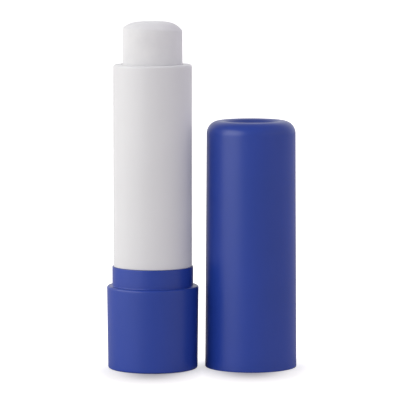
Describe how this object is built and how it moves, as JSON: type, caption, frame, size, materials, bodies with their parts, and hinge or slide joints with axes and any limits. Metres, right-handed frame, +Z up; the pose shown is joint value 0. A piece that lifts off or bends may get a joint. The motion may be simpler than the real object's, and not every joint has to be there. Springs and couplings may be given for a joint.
{
  "type": "lip balm stick",
  "caption": "Twist-up lip balm stick in a white tube on a round blue base, wound part way out, with its blue dished cap standing beside it.",
  "frame": {"origin": "centre of the base's foot, on the surface that the stick and its cap stand on", "axes": "+Z up along the stick, +X from the stick towards the cap beside it, +Y away from the viewer of the picture"},
  "size_m": [0.0394, 0.0208, 0.0719],
  "materials": {
    "blue_plastic": "satin",
    "white_plastic": "semi-gloss",
    "natural_plastic": "matte",
    "balm_wax": "waxy",
    "ring_rubber": "matte"
  },
  "bodies": {
    "base": {"base_sleeve": "blue_plastic", "base_plug": "blue_plastic", "screw_spindle": "natural_plastic", "friction_ring": "ring_rubber"},
    "tube": {"tube": "white_plastic"},
    "carrier": {"carrier": "natural_plastic", "balm": "balm_wax"},
    "cap": {"cap": "blue_plastic"}
  },
  "joints": [
    {"name": "tube_turn", "type": "hinge", "parent": "base", "child": "tube", "pos_m": [0, 0, 0.0212], "axis": [0, 0, 1], "range_deg": [-837, 2970]},
    {"name": "carrier_lift", "type": "slide", "parent": "tube", "child": "carrier", "axis": [0, 0, 1], "range_m": [-0.0094, 0.0331]},
    {"name": "cap_lift", "type": "slide", "parent": "base", "child": "cap", "axis": [0, 0, 1], "range_m": [0, 0.08]}
  ],
  "couplings": [
    {"joint": "carrier_lift", "follows": "tube_turn", "m_per_rad": 0.00063662}
  ]
}
